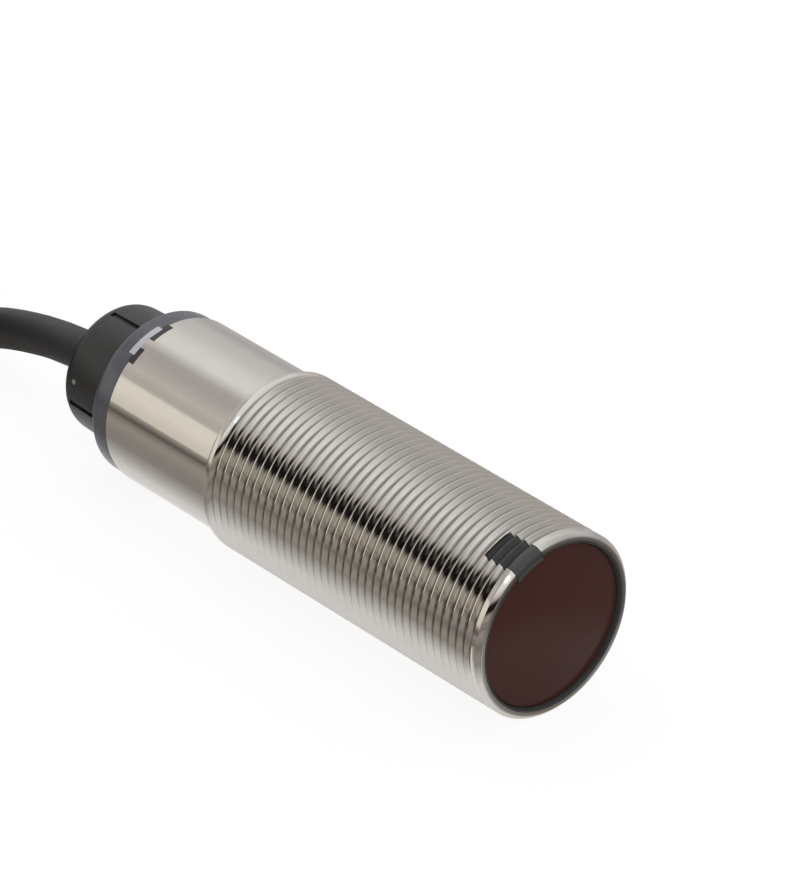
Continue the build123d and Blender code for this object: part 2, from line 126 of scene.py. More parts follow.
finishes = {
    # thin bright nickel over turned brass: a slightly warm mirror with fine rings round the axis, and
    # painted shade in the thread
    "nickelPlatedBrass": {"slot": "nickel_plated_brass", "colour": "#d9d6d2", "second": "#d0cdc9",
                          "metallic": 1.0, "rough": (0.06, 0.09), "grain": 1.6, "bump": 0.0, "turned": 0.25,
                          # groove: the colour of the painted shade down in the thread
                          "groove": "#7f7b77"},
    # glass-filled PBT, moulded: near black with a soft grey sheen and a fine spark texture
    "blackPbt": {"slot": "black_moulding", "colour": "#292a2b", "second": "#1f2022", "rough": (0.33, 0.43),
                 "ior": 1.55, "grain": 0.35, "bump": 0.10},
    # a painted highlight on the gate button of the rear cap: dull pale grey
    "gateHighlight": {"slot": "black_moulding", "colour": "#8d8d8a", "second": "#787876", "rough": (0.5, 0.6),
                 "ior": 1.55, "grain": 0.1, "bump": 0.0},
    # the same moulding compound in slate, for the lens holder: a shade lighter, matt
    "slatePbt": {"slot": "black_moulding", "colour": "#3a3c3d", "second": "#303233", "rough": (0.42, 0.52),
                 "ior": 1.55, "grain": 0.35, "bump": 0.10},
    # polished dyed PMMA: a dark red that passes infrared, even and glassy
    "redPmma": {"slot": "red_filter_lens", "colour": "#4b2f2a", "second": "#482c28", "rough": (0.07, 0.10),
                "ior": 1.49, "grain": 3.0, "bump": 0.0, "specular": 0.08},
    # smoke-tinted polycarbonate: slate grey, slightly see-through at its edges
    "smokePolycarbonate": {"slot": "smoke_polycarbonate", "colour": "#575962", "second": "#4e5059",
                           "rough": (0.18, 0.26), "ior": 1.58, "grain": 2.0, "bump": 0.0, "scatter": 0.35},
    # frosted polycarbonate light guide: pale blue grey
    "clearPolycarbonate": {"slot": "clear_light_guide", "colour": "#c6c8d2", "second": "#babcc7",
                           "rough": (0.16, 0.22), "ior": 1.58, "grain": 1.2, "bump": 0.0, "scatter": 0.3},
    # nitrile rubber, moulded: dull black
    "nitrileRubber": {"slot": "black_rubber", "colour": "#191919", "second": "#121212", "rough": (0.55, 0.7),
                      "ior": 1.52, "grain": 0.3, "bump": 0.15},
    # FR4 under green solder mask, with copper runs that show through as lighter lines
    "solderMask": {"slot": "circuit_board", "colour": "#12512f", "second": "#1d6b41", "rough": (0.3, 0.42),
                   "grain": 1.2, "bump": 0.05, "tracks": "#2f8a56"},
    # moulded epoxy: flat charcoal with a mineral speckle
    "mouldedEpoxy": {"slot": "chip_epoxy", "colour": "#2b2b2d", "second": "#222224", "rough": (0.55, 0.68),
                     "ior": 1.55, "grain": 0.12, "bump": 0.08},
    # tin-plated steel sheet, rolled: pale satin grey
    "tinnedSteel": {"slot": "tinned_steel", "colour": "#c3c4c4", "second": "#b2b3b4", "metallic": 1.0,
                    "rough": (0.26, 0.38), "grain": 0.5, "bump": 0.03},
    # clear epoxy over a phosphor: milky yellow
    "lampEpoxy": {"slot": "lamp_epoxy", "colour": "#e2ddc6", "second": "#d8cf9f", "rough": (0.12, 0.2),
                  "grain": 0.5, "bump": 0.0, "scatter": 0.4},
    # extruded soft PVC: dark charcoal, satin, with faint drawn lines and scuffs
    "cablePvc": {"slot": "cable_pvc", "colour": "#313234", "second": "#28292b", "rough": (0.42, 0.56),
                 "ior": 1.53, "grain": 0.8, "bump": 0.12},
    # thin extruded core insulation in its four colours
    "brownPvc": {"slot": "core_brown_pvc", "colour": "#5b3519", "second": "#4f2d15", "rough": (0.35, 0.45),
                 "ior": 1.53, "grain": 0.4, "bump": 0.05},
    "bluePvc": {"slot": "core_blue_pvc", "colour": "#1f4f9e", "second": "#1b458c", "rough": (0.35, 0.45),
                "ior": 1.53, "grain": 0.4, "bump": 0.05},
    "whitePvc": {"slot": "core_white_pvc", "colour": "#e3e1da", "second": "#d6d3ca", "rough": (0.35, 0.45),
                 "ior": 1.53, "grain": 0.4, "bump": 0.05},
    "blackPvc": {"slot": "core_black_pvc", "colour": "#1d1d1e", "second": "#161617", "rough": (0.35, 0.45),
                 "ior": 1.53, "grain": 0.4, "bump": 0.05},
    # fine tinned copper strands, twisted: soft silver
    "tinnedCopper": {"slot": "tinned_copper", "colour": "#c9c5bd", "second": "#b9a48f", "metallic": 1.0,
                     "rough": (0.25, 0.38), "grain": 0.3, "bump": 0.0},
    # moulded nylon 66: black, slightly waxy
    "blackNylon": {"slot": "black_nylon", "colour": "#1b1b1c", "second": "#141415", "rough": (0.38, 0.5),
                   "ior": 1.53, "grain": 0.3, "bump": 0.06},
}
# patterns in mm, from the real surfaces, and where the painted shade in the thread is full
pattern = {"toolMarks": 0.3, "toolDepth": 0.004, "bumpDepth": 0.02, "grooveFloor": 0.05, "trackCell": 5.0,
           "scatterDepth": 0.8}
materials = {}


def makeFinish(name, finish):
    material = bpy.data.materials.new(name)
    material.use_nodes = True
    tree = material.node_tree
    tree.nodes.clear()
    place = addNode(tree, "ShaderNodeTexCoord").outputs["Object"]
    grain = addNode(tree, "ShaderNodeTexNoise", {"Scale": 1 / (finish["grain"] * mm), "Detail": 3.0,
                                                 "Roughness": 0.55}, {"Vector": place}).outputs["Fac"]
    tint = addNode(tree, "ShaderNodeMix", {
        "data_type": "RGBA", colourA: linearColour(finish["colour"]),
        colourB: linearColour(finish["second"])}, {factor: grain})
    smooth, dull = finish["rough"]
    rough = addNode(tree, "ShaderNodeMapRange", {"From Min": 0.3, "From Max": 0.7, "To Min": smooth,
                                                 "To Max": dull}, {"Value": grain}).outputs["Result"]
    shader = addNode(tree, "ShaderNodeBsdfPrincipled",
                     {"Metallic": finish.get("metallic", 0.0), "IOR": finish.get("ior", 1.5)},
                     {"Roughness": rough})
    if "specular" in finish:
        shader.inputs["Specular IOR Level"].default_value = finish["specular"]
    if "scatter" in finish:
        shader.inputs["Subsurface Weight"].default_value = finish["scatter"]
        shader.inputs["Subsurface Radius"].default_value = (1.0, 1.0, 1.1)
        shader.inputs["Subsurface Scale"].default_value = pattern["scatterDepth"] * mm
    colour, height = tint.outputs[2], grain
    if finish.get("turned"):
        # tool marks 0.05 mm apart on the real sleeve, drawn 0.3 mm apart so that they show
        along = addNode(tree, "ShaderNodeSeparateXYZ", None, {"Vector": place}).outputs["X"]
        height = addNode(tree, "ShaderNodeTexNoise", {
            "noise_dimensions": "1D", "Scale": 1 / (pattern["toolMarks"] * mm), "Detail": 2.0},
            {"W": along}).outputs["Fac"]
    if "groove" in finish:
        # painted shade: the colour turns darker down in the thread, darkest near the root
        section = addNode(tree, "ShaderNodeVectorMath", {"operation": "MULTIPLY", 1: (0, 1, 1)}, {0: place})
        across = addNode(tree, "ShaderNodeVectorMath", {
            "operation": "DISTANCE", 1: (0, 0, body["axisHeight"] * mm)}, {0: section.outputs[0]})
        crest, root = body["crest"] * mm, body["root"] * mm
        deep = addNode(tree, "ShaderNodeMapRange", {
            "From Min": 0.5 * (crest + root), "From Max": root + pattern["grooveFloor"] * mm},
            {"Value": across.outputs["Value"]})
        end = (body["halfLength"] - body["threadEnd"]) * mm
        threaded = addNode(tree, "ShaderNodeMath", {"operation": "GREATER_THAN", 1: end}, {
            0: addNode(tree, "ShaderNodeSeparateXYZ", None, {"Vector": place}).outputs["X"]})
        share = addNode(tree, "ShaderNodeMath", {"operation": "MULTIPLY"},
                        {0: deep.outputs["Result"], 1: threaded.outputs[0]})
        colour = addNode(tree, "ShaderNodeMix", {
            "data_type": "RGBA", colourB: linearColour(finish["groove"])},
            {factor: share.outputs[0], colourA: colour}).outputs[2]
    if "tracks" in finish:
        # copper runs 0.4 mm wide at 1.3 mm, the usual width of a power track
        runs = addNode(tree, "ShaderNodeTexBrick", {
            "Scale": 1 / (pattern["trackCell"] * mm), "offset": 0.37, "Mortar Size": 0.04,
            "Mortar Smooth": 0.1}, {"Vector": place}).outputs["Fac"]
        colour = addNode(tree, "ShaderNodeMix", {
            "data_type": "RGBA", colourA: linearColour(finish["tracks"])},
            {factor: runs, colourB: colour}).outputs[2]
    tree.links.new(colour, shader.inputs["Base Color"])
    strength = finish.get("turned") or finish["bump"]
    if strength:
        depth = pattern["toolDepth" if finish.get("turned") else "bumpDepth"] * mm
        bump = addNode(tree, "ShaderNodeBump", {"Strength": strength, "Distance": depth}, {"Height": height})
        tree.links.new(bump.outputs["Normal"], shader.inputs["Normal"])
    addNode(tree, "ShaderNodeOutputMaterial", None, {"Surface": shader.outputs["BSDF"]})
    materials[name] = material


for finishName, finish in finishes.items():
    makeFinish(finishName, finish)
print("finishes mixed:", len(materials))


mergeDistance = 2e-7        # m, far below the smallest rounding


def addPiece(name, bm, finish, sharpAngle=32):
    bmesh.ops.remove_doubles(bm, verts=bm.verts, dist=mergeDistance)
    bmesh.ops.dissolve_degenerate(bm, edges=bm.edges, dist=mergeDistance)
    bmesh.ops.recalc_face_normals(bm, faces=bm.faces)
    mesh = bpy.data.meshes.new(name)
    bm.to_mesh(mesh)
    bm.free()
    piece = bpy.data.objects.new(name, mesh)
    scene.collection.objects.link(piece)
    mesh.materials.append(materials[finish])
    shadeByAngle(piece, sharpAngle)
    return piece


def shadeByAngle(piece, sharpAngle):
    bm = bmesh.new()
    bm.from_mesh(piece.data)
    limit = math.radians(sharpAngle)
    for face in bm.faces:
        face.smooth = True
    for edge in bm.edges:
        edge.smooth = len(edge.link_faces) == 2 and edge.calc_face_angle(0) < limit
    bm.to_mesh(piece.data)
    bm.free()


def weighNormals(piece):
    # flanks and flats shade flat, and only the small roundings between them shade round
    weigh = piece.modifiers.new("weighNormals", "WEIGHTED_NORMAL")
    weigh.mode, weigh.weight, weigh.keep_sharp = "FACE_AREA", 90, True


def standFor(piece, finish, *nodes):
    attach(piece, "root")
    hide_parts(*nodes)


def roundOutline(outline, steps=5):
    # corners given as (station, radius, round) become short curves
    points = []
    for i, corner in enumerate(outline):
        here = Vector(corner[:2])
        if len(corner) < 3:
            points.append(here)
            continue
        before = (Vector(outline[i - 1][:2]) - here).normalized()
        after = (Vector(outline[(i + 1) % len(outline)][:2]) - here).normalized()
        reach = corner[2] / math.tan(before.angle(after) / 2)
        first, last = here + before * reach, here + after * reach
        for step in range(steps + 1):
            u = step / steps
            points.append(first * (1 - u) ** 2 + here * 2 * u * (1 - u) + last * u * u)
    return points


def addRings(bm, points, closed=True, segments=None):
    # revolves (station, radius) points round the axis
    count = segments or body["segments"]
    rings = []
    for station, radius in points:
        if radius < 1e-6:
            rings.append([bm.verts.new(onBody(station, 0, 0))] * count)
        else:
            rings.append([bm.verts.new(onBody(station, radius, 360 * k / count)) for k in range(count)])
    pairs = list(zip(rings, rings[1:])) + ([(rings[-1], rings[0])] if closed else [])
    for first, second in pairs:
        for k in range(count):
            corners = []
            for vert in (first[k], first[(k + 1) % count], second[(k + 1) % count], second[k]):
                if vert not in corners:
                    corners.append(vert)
            if len(corners) > 2:
                bm.faces.new(corners)


# one pitch of the M18 x 1 profile: place along the pitch and share of the depth
threadProfile = [(0.0, 0.0), (0.10, 0.0), (0.12, 0.04), (0.43, 0.93), (0.48, 1.0), (0.61, 1.0), (0.66, 0.93),
                 (0.98, 0.04)]


def addThread(bm, start, end, gap=0.0, fadeIn=0.45, fadeOut=0.6):
    # a right-handed helix as a sheared grid, clamped to two stations and fading out at both
    count, steps = body["segments"], len(threadProfile)
    turns = math.ceil(end - start) + 1
    depth = body["crest"] - body["root"]
    columns = []
    for k in range(count):
        column = []
        for i in range(turns * steps + 1):
            along, share = threadProfile[i % steps]
            station = min(end, max(start, start + i // steps + along - k / count))
            fade = blend((station - start) / fadeIn) * blend((end - station) / fadeOut)
            radius = body["crest"] - gap - depth * share * fade
            column.append(bm.verts.new(onBody(station, radius, 360 * k / count)))
        columns.append(column)
    for k in range(count):
        here, there = columns[k], columns[(k + 1) % count]
        shift = steps if k == count - 1 else 0
        for i in range(len(here) - 1):
            second, third = there[max(0, i - shift)], there[max(0, i + 1 - shift)]
            corners = [here[i], here[i + 1], third, second]
            if second is third:
                corners.pop()
            bm.faces.new(corners)
        if shift:
            tail = here[-1]
            for i in range(len(here) - 1 - shift, len(there) - 1):
                bm.faces.new((tail, there[i], there[i + 1]))


def addBlock(bm, start, end, width, low, high, angle):
    # a block between two stations and two heights above the axis, turned to an angle round it
    corners = []
    for station in (start, end):
        for side, height in ((-1, low), (1, low), (1, high), (-1, high)):
            corners.append(bm.verts.new(onTurned(station, side * width / 2, height, math.radians(angle))))
    for face in ((0, 1, 2, 3), (7, 6, 5, 4), (0, 4, 5, 1), (1, 5, 6, 2), (2, 6, 7, 3), (3, 7, 4, 0)):
        bm.faces.new([corners[i] for i in face])


def shapeWith(piece, tool, operation, sharpAngle=32):
    # Boolean with a tool mesh, applied at once
    bmesh.ops.recalc_face_normals(tool, faces=tool.faces)
    mesh = bpy.data.meshes.new("tool")
    tool.to_mesh(mesh)
    tool.free()
    other = bpy.data.objects.new("tool", mesh)
    scene.collection.objects.link(other)
    modifier = piece.modifiers.new("shape", "BOOLEAN")
    modifier.operation, modifier.solver, modifier.object = operation, "EXACT", other
    result = bpy.data.meshes.new_from_object(piece.evaluated_get(bpy.context.evaluated_depsgraph_get()))
    piece.modifiers.clear()
    old = piece.data
    result.name = old.name
    piece.data = result
    bpy.data.meshes.remove(old)
    bpy.data.objects.remove(other)
    bpy.data.meshes.remove(mesh)
    shadeByAngle(piece, sharpAngle)


# from the cap along the axis, down to the surface and on to the coil; length in m
cable = {
    "diameter": 4.0, "length": 2.0,
    "path": [(-22.555, 0.0, 9.0), (-35.055, 0.0, 9.05), (-46.955, -0.1, 6.25), (-54.827, 1.087, 2.0),
             (-62.631, 2.846, 2.0)],
}
coil = {
    "centre": (-83.955, -19.0), "entryAngle": 77.3, "outer": 26.0, "inner": 14.0, "layers": 5,
    "turns": 2.672, "climb": 0.35, "pointsPerTurn": 16, "tieAngle": 330.0, "strapRise": 1.0,
    "strapReach": 34.0,
}
# up out of the coil by (angle, radius, height), then across its top by headings in steps of one run
cableEnd = {"rise": [(10, 13.6, 18.9), (27, 13.5, 20.8), (43, 13.9, 22.0)], "angle": 60.0, "radius": 14.5,
            "height": 22.0, "headings": [156, 188, 222, 257, 292], "run": 11.0}


def roundCoil(angle, radius, height):
    turn = math.radians(angle)
    return (coil["centre"][0] + radius * math.cos(turn), coil["centre"][1] + radius * math.sin(turn), height)


def coilPoints():
    # turns side by side from the outside in, out and in again, one layer on the other
    count = coil["pointsPerTurn"]
    # the spline cuts inside its control points, so they stand farther out
    scale = 1 / (0.75 + 0.25 * math.cos(2 * math.pi / count))
    span = coil["turns"] + coil["climb"]
    total = coil["layers"] * coil["turns"] + (coil["layers"] - 1) * coil["climb"]
    stack = coil["layers"] * cable["diameter"]
    points = []
    for step in range(int(total * count) + 1):
        u = step / count
        layer = min(coil["layers"] - 1, int(u / span))
        within = u - layer * span
        wound = min(1.0, within / coil["turns"])
        if layer % 2:
            wound = 1 - wound
        radius = coil["outer"] + (coil["inner"] - coil["outer"]) * wound
        height = cable["diameter"] * (layer + 0.5 + blend((within - coil["turns"]) / coil["climb"]))
        angle = coil["entryAngle"] + 360 * u
        away = abs((angle - coil["tieAngle"] + 180) % 360 - 180)
        rise = coil["strapRise"] * (1 - height / stack)                # over the strap under the coil
        height += rise * blend(1 - away / coil["strapReach"])
        points.append(roundCoil(angle, radius * scale, height))
    return points


def walk(start, headings, run):
    points = [start]
    for heading in headings:
        x, y, z = points[-1]
        turn = math.radians(heading)
        points.append((x + run * math.cos(turn), y + run * math.sin(turn), z))
    return points


def makeCord(name, points, diameter, finish, sides=5, resolution=8):
    data = bpy.data.curves.new(name, "CURVE")
    data.dimensions = "3D"
    spline = data.splines.new("NURBS")
    spline.points.add(len(points) - 1)
    for control, point in zip(spline.points, points):
        control.co = (*(Vector(point) * mm), 1.0)
    spline.order_u = 3
    spline.use_endpoint_u = True
    spline.resolution_u = resolution
    data.resolution_u = resolution
    data.bevel_depth, data.bevel_resolution, data.use_fill_caps = diameter / 2 * mm, sides, True
    data.materials.append(materials[finish])
    cord = bpy.data.objects.new(name, data)
    scene.collection.objects.link(cord)
    return cord


def makeCable():
    points = cable["path"] + coilPoints() + [roundCoil(*place) for place in cableEnd["rise"]]
    top = roundCoil(cableEnd["angle"], cableEnd["radius"], cableEnd["height"])
    points += walk(top, cableEnd["headings"], cableEnd["run"])
    piece = makeCord("cable", points, cable["diameter"], "cablePvc", 6, 6)
    standFor(piece, "cablePvc", "cable_sheath", "cable_coil", "cable_end")
    return piece, points[-1]


# each run of a free core has a length, a turn from the cable's heading and a share in the fan
cores = {
    "diameter": 1.0, "spread": 0.66, "padSpacing": 2.8, "run": 3.0, "padLength": 1.5, "boardTop": 0.5,
    "bendRise": 0.3, "freeRuns": [(3.0, 0, 4), (8.0, 30, 10), (9.0, 70, 4)],
    "places": {"brown": (-1, -1), "blue": (-1, 1), "white": (1, 1), "black": (1, -1)},
}
strand = {"length": 6.0, "radius": 0.105, "away": 0.195, "lay": 5.0, "outer": 6, "steps": 16}


def makeFreeCores(end):
    # the four cores fan out of the cable's cut end and lie on the coil, each with bare tinned strands
    heading = cableEnd["headings"][-1]
    rest = cableEnd["height"] - cable["diameter"] / 2 + cores["diameter"] / 2
    side = math.radians(heading + 90)
    pieces, tips = [], []
    for number, (colour, (across, up)) in enumerate(cores["places"].items()):
        points = [(end[0] + across * cores["spread"] * math.cos(side),
                   end[1] + across * cores["spread"] * math.sin(side), end[2] + up * cores["spread"])]
        for length, turn, fan in cores["freeRuns"]:
            x, y, z = walk(points[-1], [heading + turn + fan * (number - 1.5)], length)[-1]
            points.append((x, y, rest if turn else z))      # level out of the sheath, then down on the coil
        piece = makeCord("freeCore" + colour.capitalize(), points, cores["diameter"], colour + "Pvc", 4)
        standFor(piece, colour + "Pvc", "free_core_" + colour)
        pieces.append(piece)
        tip = Vector(points[-1])
        tips.append((tip, (tip - Vector(points[-2])).normalized()))
    strands = bpy.data.curves.new("strippedEnds", "CURVE")
    strands.dimensions, strands.bevel_depth, strands.bevel_resolution = "3D", strand["radius"] * mm, 1
    strands.use_fill_caps = True
    for tip, along in tips:
        across = along.cross(Vector((0, 0, 1))).normalized()
        up = across.cross(along)
        for number in range(strand["outer"] + 1):
            # the last strand is the straight middle one
            away = strand["away"] if number < strand["outer"] else 0.0
            spline = strands.splines.new("POLY")
            spline.points.add(strand["steps"])
            for step, control in enumerate(spline.points):
                length = strand["length"] * step / strand["steps"]
                turn = math.radians(360 * number / strand["outer"] + 360 * length / strand["lay"])
                middle = tip + along * length
                control.co = (*((middle + (across * math.cos(turn) + up * math.sin(turn)) * away) * mm), 1.0)
    strands.materials.append(materials["tinnedCopper"])
    ends = bpy.data.objects.new("strippedEnds", strands)
    scene.collection.objects.link(ends)
    standFor(ends, "tinnedCopper", "stripped_ends")
    return pieces + [ends]


tie = {
    "radius": 20.0, "width": 3.6, "thickness": 0.9, "across": 16.0, "height": 20.9, "corner": 2.0,
    "cornerSteps": 6, "cornerGrowth": 0.6, "soft": 0.2, "headLength": 5.0, "headWidth": 4.8,
    "headHeight": 2.4, "headSunk": 0.1, "headRound": 0.35, "tail": 1.5, "tailLength": 1.2, "tailInset": 0.3,
}


def makeTie():
    # a ratchet tie round the coil: a flat strap, its head on top and the cut end of the strap in it
    middle, turn = roundCoil(coil["tieAngle"], tie["radius"], 0), math.radians(coil["tieAngle"])
    out, side = Vector((math.cos(turn), math.sin(turn), 0)), Vector((-math.sin(turn), math.cos(turn), 0))

    def place(u, v, z):
        return (Vector(middle) + out * u + side * v + Vector((0, 0, z))) * mm

    def loop(grow):
        half, low = tie["across"] / 2 + grow, tie["thickness"] - grow
        high = tie["height"] - tie["thickness"] + grow
        corner, steps, points = tie["corner"] + grow * tie["cornerGrowth"], tie["cornerSteps"], []
        for u, z, start in ((half, low, 270), (half, high, 0), (-half, high, 90), (-half, low, 180)):
            cu, cz = u - math.copysign(corner, u), z + (corner if z == low else -corner)
            for step in range(steps + 1):
                angle = math.radians(start + 90 * step / steps)
                points.append((cu + corner * math.cos(angle), cz + corner * math.sin(angle)))
        return points

    bm = bmesh.new()
    soft, half, thick = tie["soft"], tie["width"] / 2, tie["thickness"]
    section = [(0, -half + soft), (0, half - soft), (soft, half), (thick - soft, half), (thick, half - soft),
               (thick, -half + soft), (thick - soft, -half), (soft, -half)]
    rows = [[bm.verts.new(place(u, v, z)) for u, z in loop(grow)] for grow, v in section]
    for first, second in zip(rows, rows[1:] + rows[:1]):
        for i in range(len(first)):
            j = (i + 1) % len(first)
            bm.faces.new((first[i], first[j], second[j], second[i]))
    strap = addPiece("coilTie", bm, "blackNylon", 40)

    head = bmesh.new()
    inset, top = tie["tailInset"], tie["height"] + tie["headHeight"]
    blocks = [(tie["headLength"], tie["headWidth"], tie["height"] - tie["headSunk"], top),
              (tie["tailLength"], tie["width"] - 2 * inset, tie["height"] + inset, top + tie["tail"])]
    for length, width, low, high in blocks:
        for vert in bmesh.ops.create_cube(head, size=1.0)["verts"]:
            vert.co = place(vert.co.x * length, vert.co.y * width, low + (vert.co.z + 0.5) * (high - low))
    bmesh.ops.bevel(head, geom=list(head.edges), offset=tie["headRound"] * mm, segments=3, affect="EDGES",
                    profile=0.5)
    shapeWith(strap, head, "UNION", 40)
    standFor(strap, "blackNylon", "coil_tie")
    return strap


cablePiece, cableTip = makeCable()
onCable = makeFreeCores(cableTip) + [makeTie()]
print("cable wound")


def makeInnerCores():
    # from the sheath's end over the board's rear edge and down on their pads
    x, run = cable["path"][0][0], cores["run"]
    padHeight = body["axisHeight"] + cores["boardTop"] + cores["diameter"] / 2
    for number, (colour, (across, up)) in enumerate(cores["places"].items()):
        y, z = across * cores["spread"], body["axisHeight"] + up * cores["spread"]
        padY = (number - 1.5) * cores["padSpacing"]
        points = [(x, y, z), (x + 0.25 * run, y, z),
                  (x + 0.75 * run, 0.3 * y + 0.7 * padY, padHeight + cores["bendRise"]),
                  (x + run + cores["padLength"], padY, padHeight)]
        piece = makeCord("core" + colour.capitalize(), points, cores["diameter"], colour + "Pvc", 3, 6)
        standFor(piece, colour + "Pvc", "core_" + colour)


makeInnerCores()


key = {"angle": 22.0, "width": 3.2, "end": 3.9, "foot": 7.6, "run": 6.0}
# the places of the two lugs by (angle, width)
lugs = {"places": [(12.5, 2.45), (35.0, 1.75)], "length": 0.7, "foot": 7.6, "top": 8.3, "sunk": 0.2}
holder = {
    "rimSetback": 0.45, "rimBore": 7.9, "lip": 8.06, "rim": 8.15, "rimEnd": 1.0, "spigot": 7.85,
    "spigotEnd": 7.0, "tip": 6.9, "rear": 8.0, "bore": 6.4, "coneRear": 4.45, "coneFront": 1.85,
    "lensBack": 7.15, "lensSeat": 0.95,
}


def makeSleeve():
    seat = holder["rim"] + body["slip"]
    front, crest, chamfer = body["front"], body["crest"], body["chamfer"]
    rear = body["threadEnd"] + body["rearLand"]
    bm = bmesh.new()
    # front face, chamfer and land, up to where the thread starts
    head = [(front, seat), (front, crest - chamfer, 0.05), (front + chamfer, crest, 0.08),
            (body["threadStart"], crest)]
    addRings(bm, roundOutline(head, 3), closed=False)
    addThread(bm, body["threadStart"], body["threadEnd"])
    # run-out, smooth part, rear rim, bore and the seat of the lens holder
    tail = [(body["threadEnd"], crest), (rear, crest, 0.12), (body["smoothStart"], body["root"], 0.1),
            (body["sleeveRear"], body["root"], 0.08), (body["sleeveRear"], body["bore"]),
            (body["threadStart"], body["bore"]), (body["threadStart"], seat), (front, seat)]
    addRings(bm, roundOutline(tail, 3), closed=False)
    sleeve = addPiece("threadedSleeve", bm, "nickelPlatedBrass", 50)
    cuts = bmesh.new()
    addBlock(cuts, 0, key["end"], key["width"], body["cutLow"], body["cutHigh"], key["angle"])
    for angle, width in lugs["places"]:
        addBlock(cuts, body["sleeveRear"] - lugs["length"], body["sleeveRear"] + body["spare"], width,
                 body["cutLow"], body["cutHigh"], angle)
    shapeWith(sleeve, cuts, "DIFFERENCE", 50)
    weighNormals(sleeve)
    standFor(sleeve, "nickelPlatedBrass", "threaded_sleeve")


makeSleeve()
print("sleeve threaded")


def makeLensHolder():
    outline = [(holder["rimSetback"], holder["rimBore"]), (0, holder["lip"], 0.03), (0, holder["rim"], 0.03),
               (holder["rimEnd"], holder["rim"]), (holder["rimEnd"], holder["spigot"]),
               (holder["spigotEnd"], holder["spigot"]), (holder["spigotEnd"], holder["tip"]),
               (holder["rear"], holder["tip"]), (holder["rear"], holder["bore"]),
               (holder["coneRear"], holder["bore"]), (holder["coneFront"], holder["lensBack"]),
               (holder["lensSeat"], holder["lensBack"]), (holder["lensSeat"], holder["rimBore"])]
    bm = bmesh.new()
    addRings(bm, roundOutline(outline, 3))
    piece = addPiece("lensHolder", bm, "slatePbt", 40)
    # the key: the same thread runs on across it, on a ring that is then cut down to the key's width
    gap, front, end, foot = body["slip"], body["front"], key["run"], key["foot"]
    crest, chamfer = body["crest"] - gap, body["chamfer"]
    ridge = bmesh.new()
    addRings(ridge, [(front, foot), (front, crest - chamfer), (front + chamfer, crest),
                     (body["threadStart"], crest)], closed=False)
    addThread(ridge, body["threadStart"], end, gap)
    addRings(ridge, [(end, crest), (end, foot), (front, foot)], closed=False)
    keyPiece = addPiece("key", ridge, "slatePbt", 50)
    block = bmesh.new()
    addBlock(block, front - body["overlap"], key["end"] - gap, key["width"] - 2 * gap, body["cutLow"],
             body["cutHigh"], key["angle"])
    shapeWith(keyPiece, block, "INTERSECT", 50)
    joined = bmesh.new()
    joined.from_mesh(keyPiece.data)
    old = keyPiece.data
    bpy.data.objects.remove(keyPiece)
    bpy.data.meshes.remove(old)
    shapeWith(piece, joined, "UNION", 45)
    weighNormals(piece)
    standFor(piece, "slatePbt", "lens_holder")


lensShape = {"rim": 7.85, "inner": 7.1, "backing": 0.9, "bulge": 2.6, "steps": 12}


def makeLens():
    front, seat, rim, inner = holder["rimSetback"], holder["lensSeat"], lensShape["rim"], lensShape["inner"]
    back, bulge, steps = seat + lensShape["backing"], lensShape["bulge"], lensShape["steps"]
    radius = (inner ** 2 + bulge ** 2) / (2 * bulge)
    outline = [(front, 0), (front, rim, 0.05), (seat, rim), (seat, inner), (back, inner)]
    for step in range(1, steps):
        angle = math.asin(inner / radius) * (1 - step / steps)
        outline.append((back + bulge - radius * (1 - math.cos(angle)), radius * math.sin(angle)))
    outline.append((back + bulge, 0))
    bm = bmesh.new()
    addRings(bm, roundOutline(outline, 3), closed=False, segments=128)
    lens = addPiece("frontLens", bm, "redPmma", 30)
    standFor(lens, "redPmma", "front_lens")


makeLensHolder()
makeLens()
print("lens and holder seated")


ring = {"outer": 8.25, "bore": 6.25, "spigot": 4.5, "edge": 0.5, "grooveFront": 2.7, "grooveRear": 1.7,
        "groove": 6.9}
window = {"angle": 22.0, "width": 3.8, "length": 1.5, "clear": 0.8, "foot": 7.35, "seat": 7.3,
          "cutHigh": 9.0, "seam": 0.01, "steps": 16}


def makeRing():
    rear, end, slip = body["sleeveRear"], body["ringRear"], body["slip"]
    start, spigot = rear - ring["spigot"], body["bore"] - slip
    sealFront, sealRear = rear - ring["grooveFront"], rear - ring["grooveRear"]
    outline = [(start, ring["bore"]), (start, spigot, 0.2), (sealFront, spigot), (sealFront, ring["groove"]),
               (sealRear, ring["groove"]), (sealRear, spigot), (rear, spigot), (rear, ring["outer"], 0.08),
               (end, ring["outer"], ring["edge"]), (end, ring["bore"])]
    bm = bmesh.new()
    addRings(bm, roundOutline(outline, 4))
    piece = addPiece("indicatorRing", bm, "smokePolycarbonate", 35)
    lugTool = bmesh.new()
    for angle, width in lugs["places"]:
        addBlock(lugTool, rear - lugs["length"] + slip, rear + lugs["sunk"], width - 2 * slip, lugs["foot"],
                 lugs["top"], angle)
    shapeWith(piece, lugTool, "UNION", 35)
    cut = bmesh.new()
    addBlock(cut, rear - body["overlap"], rear + window["length"] + window["seam"],
             window["width"] + 2 * window["seam"], window["seat"], window["cutHigh"], window["angle"])
    shapeWith(piece, cut, "DIFFERENCE", 35)
    # painted shade: the lugs, down in the sleeve's notches, get the black moulding
    piece.data.materials.append(materials["blackPbt"])
    for face in piece.data.polygons:
        middle = face.center / mm
        station = body["halfLength"] - middle.x
        height = math.hypot(middle.y, middle.z - body["axisHeight"])
        if rear - lugs["length"] - 0.1 < station < rear - 0.001 and height > spigot + 0.01:
            face.material_index = 1
    standFor(piece, "smokePolycarbonate", "indicator_ring")


